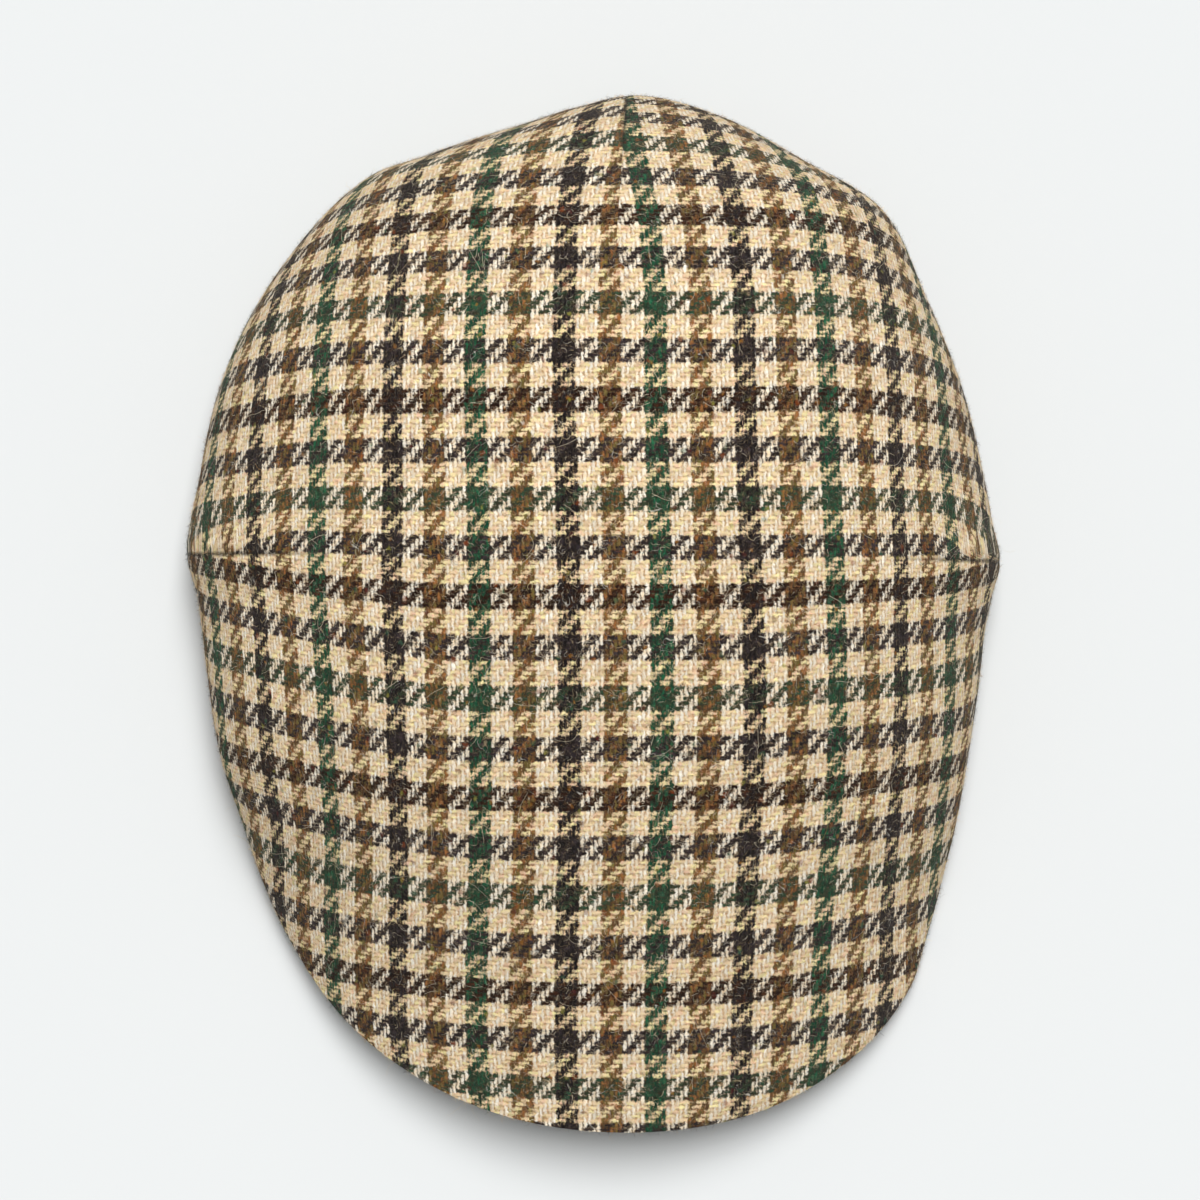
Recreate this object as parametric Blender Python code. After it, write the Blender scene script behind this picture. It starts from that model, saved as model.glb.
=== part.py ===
"""A one-piece tweed flat cap, lying on its rim.

The top of the cap is one hollow cloth shell. Three darts shape it, one at the centre back and one on each
side, and their lines cross at one point above the head opening, which is the centre of every section here.
Along the back and sides the cloth turns in under its widest line to the head opening, where it ends in a
turned-up hem. At the front it folds down over the edge of the peak, a stiff crescent that bows up in the
middle.

+X is the wearer's left, seen from above with the peak towards -Y. +Z is up, and the rim rests on z = 0.
Lengths below are in millimetres and turn into metres where the points are made.
"""

import math

import bmesh
import bpy
import numpy as np
from mathutils import Vector

MM = 0.001

# Cloth and crown
CLOTH = 2.0
CROWN_HEIGHT = 93.0
CROWN_TOP_Y = 38.0
BACK_FULLNESS = 2.08
SIDE_FULLNESS = 2.12
FRONT_SLOPE_KNEE = 0.6
SIDE_BULGE_HEIGHT = 24.0
BACK_BULGE_HEIGHT = 22.0
# Degrees off the front between which the widest line comes down from its height at the sides
BULGE_COMES_DOWN = (100.0, 150.0)
# The curve under the widest line: shares of its height and of its depth where it leaves and where it arrives
UNDER_DROP = 0.55
UNDER_LIFT = 0.3
UNDER_DEPTH = 0.34
# The crest runs a little to the wearer's left of the middle, more so at the two ends
CREST_X = 4.0
CREST_END_DRIFT = 6.0

# Head opening: an ellipse, size 57 to 58
OPENING_CENTRE_Y = 18.0
OPENING_HALF_WIDTH = 80.0
OPENING_HALF_LENGTH = 100.0

# Hem round the opening, turned up inside
HEM_HEIGHT = 18.0
FRONT_HEM_HEIGHT = 1.5
FRONT_HEM_STEP = 0.6
GROOVE_FLOOR = 2.5
FRONT_GROOVE_FLOOR = 1.7

# Peak
PEAK_THICKNESS = 4.0
PEAK_FRONT_RISE = 20.0
PEAK_BACK_RISE = 26.0
PEAK_FRONT_Y = -137.0
PEAK_BACK_Y = -82.0
PEAK_HALF_SPAN = 92.0
PEAK_ARCH_POWER = 1.4
PEAK_LOWEST = 1.0
PEAK_END_ANGLE = 55.0
EDGE_OVERHANG = 0.6
GAP = 0.3

# Darts, each a valley between two low puffs of cloth
DART_DEPTH = 1.2
DART_PUFF = 0.9
DART_VALLEY_WIDTH = 1.2
DART_PUFF_WIDTH = 5.0

# Mesh
SECTOR_STEP = 5.0
DART_SECTOR_OFFSETS = (-3.6, -1.5, 0.0, 1.5, 3.6)
DOME_RINGS = 13
EDGE_SAMPLES = 721
TURN_RINGS = 6
PEAK_SECTORS = round(2 * PEAK_END_ANGLE / SECTOR_STEP)
PEAK_RINGS = 7
SHARP_ANGLE = 40.0

# Where the three darts' lines cross: the centre of every section
CENTRE_X = 0.0
CENTRE_Y = 16.0

# The outline from above. Each row is a section: its direction in degrees from +X, and how far it reaches.
SECTIONS = (
    # angle, reach
    (-173.0, 105.8),
    (-162.0, 107.8),
    (-150.0, 113.7),
    (-142.0, 118.4),
    (-129.0, 130.5),
    (-117.0, 141.5),
    (-103.0, 149.4),
    (-88.0, 153.3),
    (-73.0, 154.3),
    (-62.0, 150.2),
    (-54.0, 143.2),
    (-48.0, 133.8),
    (-40.0, 123.4),
    (-27.0, 111.8),
    (-13.0, 105.8),
    (-6.0, 106.0),
    (-1.0, 107.4),
    (5.0, 105.8),
    (15.0, 105.5),
    (30.0, 108.5),
    (39.0, 112.1),
    (50.0, 119.2),
    (62.0, 118.5),
    (74.0, 121.1),
    (84.0, 122.4),
    (93.0, 118.5),
    (101.0, 115.4),
    (113.0, 115.0),
    (121.0, 116.8),
    (137.0, 112.9),
    (153.0, 109.5),
    (168.0, 106.8),
    (175.0, 107.5),
    (180.0, 107.9),
)

# angle, share of the way from the centre to the outline where the dart starts to open
DARTS = (
    (86.0, 0.76),
    (-1.0, 0.62),
    (180.0, 0.48),
)

FRONT_ANGLE = -90.0
FRONT_TIP_ANGLE = -87.0
BACK_TIP_ANGLE = 84.0
# Degrees off the front between which the rim leaves the peak's edge for the head opening
RIM_LEAVES_PEAK = (38.0, 66.0)
# The cloth comes down to its edge upright at the sides, and at a slant towards the front
UPRIGHT_EDGE_POWER = 0.5
SLANTED_EDGE_POWER = 0.92
SLANT_ENDS_Y = -10.0


def mix(first, second, share):
    return first + (second - first) * share


def ease(low, high, value):
    share = min(1.0, max(0.0, (value - low) / (high - low)))
    return share * share * (3.0 - 2.0 * share)


def turn_between(first, second):
    """Degrees from first to second, the short way round."""
    return (second - first + 180.0) % 360.0 - 180.0


def off_front(angle):
    return abs(turn_between(FRONT_ANGLE, angle))


def outline(angle):
    """How far the cloth reaches in this direction: a smooth curve through the sections."""
    count = len(SECTIONS)
    for index in range(count):
        span = (SECTIONS[(index + 1) % count][0] - SECTIONS[index][0]) % 360.0
        along = (angle - SECTIONS[index][0]) % 360.0
        if along <= span:
            break
    rows = [SECTIONS[(index + step) % count] for step in (-1, 0, 1, 2)]
    before = (rows[1][0] - rows[0][0]) % 360.0
    after = (rows[3][0] - rows[2][0]) % 360.0
    start_slope = (rows[2][1] - rows[0][1]) / (before + span)
    end_slope = (rows[3][1] - rows[1][1]) / (span + after)
    t = along / span
    return (
        rows[1][1] * (2 * t**3 - 3 * t**2 + 1)
        + start_slope * span * (t**3 - 2 * t**2 + t)
        + rows[2][1] * (3 * t**2 - 2 * t**3)
        + end_slope * span * (t**3 - t**2)
    )


def direction(angle):
    return Vector((math.cos(math.radians(angle)), math.sin(math.radians(angle)), 0.0))


def from_centre(angle, reach, height=0.0):
    return Vector((CENTRE_X, CENTRE_Y, height)) + direction(angle) * reach


def opening_reach(angle):
    """From the centre to the head opening's ellipse."""
    way = direction(angle)
    shift = CENTRE_Y - OPENING_CENTRE_Y
    a = (way.x / OPENING_HALF_WIDTH) ** 2 + (way.y / OPENING_HALF_LENGTH) ** 2
    b = 2 * way.y * shift / OPENING_HALF_LENGTH**2
    c = (shift / OPENING_HALF_LENGTH) ** 2 - 1
    return (-b + math.sqrt(b * b - 4 * a * c)) / (2 * a)


def peak_share(angle):
    """1 where the rim follows the peak's edge, 0 where it follows the head opening."""
    return 1.0 - ease(*RIM_LEAVES_PEAK, off_front(angle))


def peak_underside(x, y):
    """The peak bows up in the middle and slopes down a little towards its front."""
    rise = mix(PEAK_FRONT_RISE, PEAK_BACK_RISE, ease(PEAK_FRONT_Y, PEAK_BACK_Y, y))
    arch = max(0.0, 1.0 - (x / PEAK_HALF_SPAN) ** 2) ** PEAK_ARCH_POWER
    return mix(PEAK_LOWEST, rise, arch)


def rim_height(angle):
    edge = from_centre(angle, outline(angle))
    return peak_share(angle) * peak_underside(edge.x, edge.y)


def widest_height(angle):
    """How high the cloth is where it reaches furthest out."""
    edge = from_centre(angle, outline(angle))
    bulge = mix(SIDE_BULGE_HEIGHT, BACK_BULGE_HEIGHT, ease(*BULGE_COMES_DOWN, off_front(angle)))
    over_peak = peak_underside(edge.x, edge.y) + PEAK_THICKNESS + GAP + CLOTH
    return mix(bulge, over_peak, peak_share(angle))


def rim_reach(angle):
    """The rim's outer edge."""
    at_opening = opening_reach(angle) + 2 * CLOTH
    return mix(at_opening, outline(angle) - EDGE_OVERHANG, peak_share(angle))


def edge_samples(first_angle, last_angle):
    """The outline and its height along one side, as arrays over y from the front to the back."""
    angles = np.linspace(first_angle, last_angle, EDGE_SAMPLES)
    points = [from_centre(angle, outline(angle), widest_height(angle)) for angle in angles]
    ys = np.maximum.accumulate([point.y for point in points])
    return ys, [point.x for point in points], [point.z for point in points]


def crest_x(y):
    return CREST_X + CREST_END_DRIFT * (y / PEAK_FRONT_Y) ** 2


def crest_height(y, back_y, back_height, front_height):
    """The crown's profile along its crest: round at the back, then a slope down to the peak's edge."""
    if y > CROWN_TOP_Y:
        share = min(1.0, (y - CROWN_TOP_Y) / (back_y - CROWN_TOP_Y))
        return mix(back_height, CROWN_HEIGHT, math.sqrt(1.0 - share**BACK_FULLNESS))
    share = (CROWN_TOP_Y - y) / (CROWN_TOP_Y - PEAK_FRONT_Y)
    fall = math.hypot(share, FRONT_SLOPE_KNEE) - FRONT_SLOPE_KNEE
    whole_fall = math.hypot(1.0, FRONT_SLOPE_KNEE) - FRONT_SLOPE_KNEE
    return mix(CROWN_HEIGHT, front_height, fall / whole_fall)


def crown_height(x, y, left_edge, right_edge):
    """Across the cap the cloth rises from its edge on either side to the crest."""
    ys, xs, heights = right_edge if x > crest_x(y) else left_edge
    edge_x = np.interp(y, ys, xs)
    edge_height = np.interp(y, ys, heights)
    crest = crest_height(y, ys[-1], heights[-1], heights[0])
    across = min(1.0, (x - crest_x(y)) / (edge_x - crest_x(y)))
    power = mix(SLANTED_EDGE_POWER, UPRIGHT_EDGE_POWER, ease(PEAK_FRONT_Y, SLANT_ENDS_Y, y))
    return mix(edge_height, crest, (1.0 - across**SIDE_FULLNESS) ** power)


def dart_relief(angle, share, reach):
    """How far a dart lifts the cloth here: negative in its valley, positive in the puffs beside it."""
    relief = 0.0
    for dart_angle, start in DARTS:
        away = abs(math.radians(turn_between(dart_angle, angle))) * reach
        opened = ease(start, 1.0, share)
        valley = DART_DEPTH * math.exp(-((away / DART_VALLEY_WIDTH) ** 2))
        puff = DART_PUFF * math.exp(-((away / DART_PUFF_WIDTH) ** 2))
        relief += opened * (puff - valley)
    return relief


def dome_point(angle, turn, inset):
    """A point of the dome: turn runs from 0 at the centre to 90 at the widest line, inset is 0 outside."""
    share = math.sin(math.radians(turn))
    reach = outline(angle) * share
    spot = from_centre(angle, reach)
    height = widest_height(angle)
    if turn < 90.0:
        height = crown_height(spot.x, spot.y, LEFT_EDGE, RIGHT_EDGE)
    level = math.cos(math.radians(turn))
    lowered = inset * mix(peak_share(angle), 1.0, level)
    point = from_centre(angle, reach - inset * share, height - lowered)
    relief = dart_relief(angle, share, reach) * (1.0 - inset / CLOTH / 2)
    return point + (direction(angle) * share + Vector((0.0, 0.0, level))) * relief


def curve_point(corners, t):
    """A point on the cubic curve that four corners give."""
    s = 1.0 - t
    weights = (s**3, 3 * s * s * t, 3 * s * t * t, t**3)
    return sum((corner * weight for corner, weight in zip(corners, weights)), Vector((0.0, 0.0, 0.0)))


def turned_under(angle, t, inset):
    """Below the widest line the cloth curves in to the rim, t from 0 to 1."""
    start = dome_point(angle, 90.0, inset)
    floor = rim_height(angle)
    end_reach = rim_reach(angle)
    if inset:
        end_reach -= inset
        floor += mix(GROOVE_FLOOR, FRONT_GROOVE_FLOOR, peak_share(angle))
    end = from_centre(angle, end_reach, floor)
    hang = start.z - floor
    inward = end - start
    inward.z = 0.0
    below_start = start - Vector((0.0, 0.0, UNDER_DROP * hang))
    above_end = end - inward * UNDER_DEPTH + Vector((0.0, 0.0, UNDER_LIFT * hang))
    return curve_point((start, below_start, above_end, end), t)


def hem_points(angle):
    """Across the rim's flat underside, up the turned hem and down behind it."""
    share = peak_share(angle)
    floor = rim_height(angle)
    behind = rim_reach(angle) - CLOTH
    inside = behind - mix(CLOTH, FRONT_HEM_STEP, share)
    top = floor + mix(HEM_HEIGHT, FRONT_HEM_HEIGHT, share)
    return (
        from_centre(angle, inside, floor),
        from_centre(angle, inside, top),
        from_centre(angle, behind, top),
    )


def sector_angles():
    """Even sectors, with closer ones across each dart."""
    angles = [-180.0 + SECTOR_STEP * step for step in range(round(360.0 / SECTOR_STEP))]
    crowded = SECTOR_STEP
    for dart_angle, _ in DARTS:
        angles = [a for a in angles if abs(turn_between(dart_angle, a)) > crowded]
        angles += [dart_angle + offset for offset in DART_SECTOR_OFFSETS]
    return sorted((a + 180.0) % 360.0 - 180.0 for a in angles)


def crown_section(angle):
    """One section of the shell, down the outer face, round the rim and up the inner face."""
    turns = [90.0 * ring / DOME_RINGS for ring in range(1, DOME_RINGS + 1)]
    under = [step / TURN_RINGS for step in range(1, TURN_RINGS + 1)]
    points = [dome_point(angle, turn, 0.0) for turn in turns]
    points += [turned_under(angle, t, 0.0) for t in under]
    points += hem_points(angle)
    points += [turned_under(angle, t, CLOTH) for t in reversed(under)]
    points += [dome_point(angle, turn, CLOTH) for turn in reversed(turns)]
    return points


def outline_middle():
    """The middle of the cap seen from above, which becomes the origin."""
    edge = [dome_point(angle, 90.0, 0.0) for angle in sector_angles()]
    xs = [point.x for point in edge]
    ys = [point.y for point in edge]
    return Vector(((min(xs) + max(xs)) / 2, (min(ys) + max(ys)) / 2, 0.0))


def build_crown(middle):
    """A ball whose circles of points are moved onto the cap's sections, so the shell closes over itself."""
    angles = sector_angles()
    sections = [crown_section(angle) for angle in angles]
    rings = len(sections[0])
    shell = bmesh.new()
    bmesh.ops.create_uvsphere(shell, u_segments=len(angles), v_segments=rings + 1, radius=1.0)
    sector_turn = 360.0 / len(angles)
    ring_turn = 180.0 / (rings + 1)
    for vertex in shell.verts:
        down = math.degrees(math.acos(max(-1.0, min(1.0, vertex.co.z))))
        ring = round(down / ring_turn) - 1
        if ring in (-1, rings):
            inset = 0.0 if ring < 0 else CLOTH
            place = dome_point(0.0, 0.0, inset)
        else:
            around = math.degrees(math.atan2(vertex.co.y, vertex.co.x)) % 360.0
            place = sections[round(around / sector_turn) % len(angles)][ring]
        vertex.co = (place - middle) * MM
    return shell


def build_peak(middle):
    """A flat grid bent into the crescent's upper face, then drawn down to its thickness."""
    plate = bmesh.new()
    bmesh.ops.create_grid(plate, x_segments=PEAK_SECTORS, y_segments=PEAK_RINGS, size=1.0)
    for vertex in plate.verts:
        angle = FRONT_ANGLE + PEAK_END_ANGLE * vertex.co.x
        inner = opening_reach(angle)
        outer = rim_reach(angle) - CLOTH - FRONT_HEM_STEP - GAP
        outer -= (CLOTH - FRONT_HEM_STEP) * (1.0 - peak_share(angle))
        spot = from_centre(angle, mix(inner, outer, (1.0 - vertex.co.y) / 2))
        spot.z = peak_underside(spot.x, spot.y) + PEAK_THICKNESS
        vertex.co = (spot - middle) * MM
    drawn = bmesh.ops.extrude_face_region(plate, geom=plate.faces[:], use_keep_orig=True)
    lower = [part for part in drawn["geom"] if isinstance(part, bmesh.types.BMVert)]
    bmesh.ops.translate(plate, verts=lower, vec=(0.0, 0.0, -PEAK_THICKNESS * MM))
    bmesh.ops.recalc_face_normals(plate, faces=plate.faces)
    return plate


def make_material(name, colour, roughness):
    """Brushed wool: matt, with no metal in it."""
    material = bpy.data.materials.new(name)
    material.use_nodes = True
    surface = material.node_tree.nodes["Principled BSDF"]
    surface.inputs["Base Color"].default_value = (*colour, 1.0)
    surface.inputs["Roughness"].default_value = roughness
    surface.inputs["Metallic"].default_value = 0.0
    return material


def add_object(name, shape, material):
    mesh = bpy.data.meshes.new(name)
    shape.to_mesh(mesh)
    shape.free()
    mesh.materials.append(material)
    mesh.shade_smooth()
    mesh.set_sharp_from_angle(angle=math.radians(SHARP_ANGLE))
    piece = bpy.data.objects.new(name, mesh)
    bpy.context.scene.collection.objects.link(piece)
    return piece


RIGHT_EDGE = edge_samples(FRONT_TIP_ANGLE, BACK_TIP_ANGLE)
LEFT_EDGE = edge_samples(FRONT_TIP_ANGLE + 360.0, BACK_TIP_ANGLE)


def main():
    for old in list(bpy.data.objects):
        bpy.data.objects.remove(old, do_unlink=True)
    middle = outline_middle()
    tweed = make_material("tweed", (0.36, 0.29, 0.21), 0.95)
    peak_tweed = make_material("peak_tweed", (0.34, 0.27, 0.20), 0.95)
    add_object("crown", build_crown(middle), tweed)
    add_object("peak", build_peak(middle), peak_tweed)


main()
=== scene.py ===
"""The looks of a one-piece tweed flat cap, seen from straight above on a pale table.

The crown is one hollow cloth shell with three darts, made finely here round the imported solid, with its own
cloth map. The map counts threads, so a material can weave the cloth: a 2/2 twill in a gun-club check. The
stiff peak has the same cloth. Stitches hold the hem and the peak, and loose wool stands off the cloth.

Lengths are in millimetres and turn into metres where a mesh is written. Angles are in degrees from +X, round
the point where the lines of the three darts cross. "Repeats" are repeats of the check, ten threads each.
"""

import functools
import math

import bmesh
import bpy
import numpy as np
from mathutils import Matrix, Vector


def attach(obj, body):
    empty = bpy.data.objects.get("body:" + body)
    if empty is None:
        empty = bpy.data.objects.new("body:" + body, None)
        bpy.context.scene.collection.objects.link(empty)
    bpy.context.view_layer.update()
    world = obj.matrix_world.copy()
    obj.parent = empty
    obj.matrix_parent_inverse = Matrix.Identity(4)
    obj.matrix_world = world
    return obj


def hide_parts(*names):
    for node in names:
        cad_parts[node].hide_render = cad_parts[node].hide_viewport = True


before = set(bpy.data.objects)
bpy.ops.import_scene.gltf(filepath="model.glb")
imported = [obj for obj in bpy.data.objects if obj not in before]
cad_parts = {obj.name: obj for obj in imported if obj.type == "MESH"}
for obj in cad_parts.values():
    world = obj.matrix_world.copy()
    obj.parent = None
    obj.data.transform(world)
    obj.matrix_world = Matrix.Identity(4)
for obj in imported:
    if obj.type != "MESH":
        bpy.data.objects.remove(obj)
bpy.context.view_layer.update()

MM = 0.001
SAME = 0.001  # places nearer than this are the same, in mm or degrees

# Cloth and crown
CLOTH = 2.0
CROWN_HEIGHT = 93.0
CROWN_TOP_Y = 38.0
BACK_FULLNESS = 2.08
SIDE_FULLNESS = 2.12
FRONT_SLOPE_KNEE = 0.6
SIDE_BULGE_HEIGHT = 24.0
BACK_BULGE_HEIGHT = 22.0
BULGE_COMES_DOWN = (100.0, 150.0)
UNDER_DROP = 0.55
UNDER_LIFT = 0.3
UNDER_DEPTH = 0.34
CREST_X = 4.0
CREST_END_DRIFT = 6.0
UPRIGHT_EDGE_POWER = 0.5
SLANTED_EDGE_POWER = 0.92
SLANT_ENDS_Y = -10.0
CENTRE_Y = 16.0

# Head opening and its turned-up hem
OPENING_CENTRE_Y = 18.0
OPENING_HALF_WIDTH = 80.0
OPENING_HALF_LENGTH = 100.0
HEM_HEIGHT = 18.0
FRONT_HEM_HEIGHT = 1.5
FRONT_HEM_STEP = 0.6
GROOVE_FLOOR = 2.5
FRONT_GROOVE_FLOOR = 1.7
FOLD_RADIUS = 0.8
FOLD_SHARE = 0.45  # the most that a fold's rounding may take of a side

# Peak
PEAK_THICKNESS = 4.0
PEAK_FRONT_RISE = 20.0
PEAK_BACK_RISE = 26.0
PEAK_FRONT_Y = -137.0
PEAK_BACK_Y = -82.0
PEAK_HALF_SPAN = 92.0
PEAK_ARCH_POWER = 1.4
PEAK_LOWEST = 1.0
PEAK_END_ANGLE = 55.0
PEAK_EDGE_RADIUS = 1.2
PEAK_EDGE_ANGLE = 40.0  # edges sharper than this are rounded
UPRIGHT_NORMAL = 0.7  # a face whose normal rises less than this stands upright
EDGE_OVERHANG = 0.6
GAP = 0.3
RIM_LEAVES_PEAK = (38.0, 66.0)

# The outline from above. Each row is a section: its direction, and how far it reaches.
SECTIONS = np.array((
    # angle, reach
    (-173.0, 105.8),
    (-162.0, 107.8),
    (-150.0, 113.7),
    (-142.0, 118.4),
    (-129.0, 130.5),
    (-117.0, 141.5),
    (-103.0, 149.4),
    (-88.0, 153.3),
    (-73.0, 154.3),
    (-62.0, 150.2),
    (-54.0, 143.2),
    (-48.0, 133.8),
    (-40.0, 123.4),
    (-27.0, 111.8),
    (-13.0, 105.8),
    (-6.0, 106.0),
    (-1.0, 107.4),
    (5.0, 105.8),
    (15.0, 105.5),
    (30.0, 108.5),
    (39.0, 112.1),
    (50.0, 119.2),
    (62.0, 118.5),
    (74.0, 121.1),
    (84.0, 122.4),
    (93.0, 118.5),
    (101.0, 115.4),
    (113.0, 115.0),
    (121.0, 116.8),
    (137.0, 112.9),
    (153.0, 109.5),
    (168.0, 106.8),
    (175.0, 107.5),
    (180.0, 107.9),
))
FRONT_ANGLE = -90.0
FRONT_TIP_ANGLE = -87.0
BACK_TIP_ANGLE = 84.0

# Darts: where each one starts to open, as a share of the way out from the centre
BACK_DART = 86.0
LEFT_DART = -1.0
RIGHT_DART = 180.0
DARTS = (
    # angle, share
    (BACK_DART, 0.76),
    (LEFT_DART, 0.62),
    (RIGHT_DART, 0.48),
)
DART_DEPTH = 1.6
DART_PUFF = 1.6
DART_VALLEY_WIDTH = 1.8
DART_PUFF_WIDTH = 5.5
CREASE_DEPTH = 0.7
CREASE_WIDTH = 0.45
DART_TAUT = (0.82, 1.0)
DART_CLOSES = 0.88
DART_FLATTENS = 0.8

# How fine the cloth is made
SECTORS = 720
DOME_RINGS = 72
UNDER_RINGS = 10
INNER_UNDER_RINGS = 7
INNER_DOME_RINGS = 18
INNER_SHARES = [step / INNER_UNDER_RINGS for step in range(1, INNER_UNDER_RINGS + 1)]
INNER_TURNS = [90.0 * ring / INNER_DOME_RINGS for ring in range(INNER_DOME_RINGS, 0, -1)]
EDGE_SAMPLES = 1441
TAPE_STEPS = 56

# The weave: threads to a repeat of the check, repeats to the sett of all its yarns, where the first light
# band has its middle, and how far apart threads lie
REPEAT = 10.0
SETT_REPEATS = 4.0
BAND_MIDDLE = REPEAT / 4
WARP_PITCH = 1.15
WEFT_PITCH = 1.29
FRONT_WEFT_PITCH = 1.43
FRONT_PITCH_REACH = 38.0
FIRST_COLUMN_X = 10.5
FIRST_ROW = 1.47

# The cloth is cut in three panels that meet at the darts. Below the widest line each is eased in to its
# middle.
PANELS = (
    # first angle, last angle, middle
    (-180.0, LEFT_DART, -90.0),
    (LEFT_DART, BACK_DART, 42.5),
    (BACK_DART, RIGHT_DART, 133.0),
)
FRONT, LEFT_BACK, RIGHT_BACK = range(3)
EASING = 1.12

# Where the cloth is eased in, so that the check moves: on which side and how far out, where along the cap it
# comes in and the share before that, and where it changes, with the repeats ahead and behind. Side 0, with a
# reach that ends at 0, is right across the cap.
ACROSS = (-1.0, 0.0)
EASED_COLUMNS = (
    # side, out, comes in, share before, changes, repeats ahead, repeats behind
    (-1.0, (40.0, 112.0), (-86.0, -52.0), 0.0, (-5.0, 45.0), -0.8, -0.224),
    (1.0, (62.0, 104.0), (-100.0, -50.0), 0.0, (35.0, 85.0), 0.62, 0.0),
)
EASED_ROWS = (
    # side, out, comes in, share before, changes, repeats ahead, repeats behind
    (0.0, ACROSS, (-95.0, -60.0), 0.0, (0.0, 50.0), 0.1, 0.0),
    (0.0, ACROSS, (-95.0, -60.0), 1.0, (-130.0, -95.0), -0.08, 0.0),
    (-1.0, (30.0, 115.0), (-86.0, -42.0), 0.0, (-20.0, 50.0), 0.95, -0.2),
    (1.0, (30.0, 115.0), (-86.0, -42.0), 0.3, (-20.0, 50.0), 0.55, -0.2),
)

# How the rows run into the side darts: repeats lost to the seam for each mm, and how far from it that shows
SIDE_SEAMS = (
    # panel, side, start, taken, reach
    (FRONT, -1.0, 77.0, 0.012, 14.0),
    (FRONT, 1.0, 88.0, 0.02, 14.0),
    (RIGHT_BACK, -1.0, 80.0, -0.045, 10.0),
    (LEFT_BACK, 1.0, 90.0, -0.075, 10.0),
)

# How the check runs into the back dart: repeats that the columns lose on either side of it, and by which the
# rows lean up to it on its right and climb away from it along the back edge
BACK_DART_X = 8.0
DART_TAKES_Y = 100.0
DART_TAKES_OVER = 38.0
TAKEN_RIGHT = -0.6
TAKEN_RIGHT_POWER = 1.6
TAKEN_LEFT = 0.66
TAKEN_LEFT_BEFORE = 0.12
TAKEN_LEFT_BEFORE_Y = 80.0
TAKEN_REACH = 90.0
BACK_EDGE_Y = (112.0, 137.0)
LEAN = 0.5
LEAN_POWER = 1.5
LEAN_REACH = 22.0
BACK_CLIMB = 0.5
BACK_CLIMB_REACH = (15.0, 60.0)

# Where the cloth is pulled a little aside: the middle, how far that shows, and by how many repeats
COLUMN_PULLS = (
    # x, y, across, along, repeats
    (52.0, -25.0, 42.0, 50.0, -0.25),
    (-76.0, 6.0, 26.0, 22.0, 0.21),
    (-42.0, -104.0, 34.0, 36.0, 0.2),
    (-25.0, 66.0, 42.0, 34.0, 0.12),
)
ROW_PULLS = (
    # x, y, across, along, repeats
    (65.0, 66.0, 26.0, 38.0, 0.15),
    (-68.0, 66.0, 18.0, 40.0, 0.11),
    (-82.0, -30.0, 27.0, 36.0, -0.16),
    (78.0, -22.0, 18.0, 34.0, -0.09),
    (-10.0, 66.0, 45.0, 45.0, 0.05),
    (-20.0, -66.0, 45.0, 45.0, -0.05),
)

# Closer sectors at each dart: how much closer, and over how many degrees
CROWDING = 0.66
CROWDING_REACH = 1.5
# How wide the painted shade down each dart's seam is
SEAM_SHADE_WIDTH = 0.55
ALLOWANCE_WIDTH = 8.0
ALLOWANCE_HEIGHT = 0.8
ALLOWANCE_EDGE = 1.5
ALLOWANCE_COMES_IN = 4.0
PEAK_SECTORS = 110
PEAK_RINGS = 14

# Soft waves in the cloth: how long they are across and along, in mm to a radian, and how high
SOFT_WAVES = (
    # across, along, start, height
    (9.0, 31.0, 0.4, 0.16),
    (-13.0, 8.0, 2.1, 0.18),
    (21.0, -12.0, 4.4, 0.22),
)

# Stitches of woollen thread
STITCH_PITCH = 3.2
STITCH_LENGTH = 2.5
STITCH_WIDTH = 0.45
HEM_STITCH_HEIGHT = 13.0
HEM_STITCHES_START = 66.0
HEM_LINE_POINTS = 721
PEAK_STITCHES_END = 52.0
PEAK_LINE_POINTS = 361
PEAK_STITCH_INSET = 6.0

# Wool raised from the cloth. A real fibre is 0.03 mm thick, too fine to show, so here they are thicker and
# fewer.
WOOL_INSIDE = (4.0, 10.0, 30.0)
WOOL_LOWEST = 3.0
WOOL_CLEARS_FLOOR = 0.3
WOOL_ROOT = 0.05
WOOL_TAPER = 0.6
WOOL_TURNS_UP = 0.4
WOOL_WOBBLE = 1.6
NAP_PIECES = 3
NAP = {"count": 32000, "steps": 3, "length": (0.9, 2.6), "width": 0.085, "rise": (0.05, 0.42), "curl": 2.2}
STRAYS = {"count": 1300, "steps": 12, "length": (3.0, 11.0), "width": 0.075, "rise": (0.03, 0.2), "curl": 1.5}
UNDYED = "DCCDB2"
NAP_UNDYED = 0.06
STRAYS_UNDYED = 0.8
WOOL_TONES = (0.8, 1.35)

# The yarns: each one's main wool, two more that are spun into it, and how full it is. The dark yarns are
# fuller than the light ones, by up to this much.
FULLEST = 1.25
YARNS = {
    # yarn: main, second, third, share of the fullness
    "ivory": ("F1E4CD", "EAD2AC", "F6F0E3", 0.0),
    "cream": ("EBD2A8", "ECC3A5", "F3E6A8", 0.0),
    "green": ("1B4230", "2C6A48", "2A3226", 0.88),
    "brown": ("5A4029", "A2693B", "6E6234", 0.64),
    "black": ("201B1B", "342D30", "171313", 0.92),
    "chocolate": ("2B1B13", "48291B", "1E1410", 0.74),
    "charcoal": ("2E2624", "43393C", "201B1A", 0.5),
    "forest": ("343E2D", "2B503B", "332D22", 0.28),
}

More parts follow.
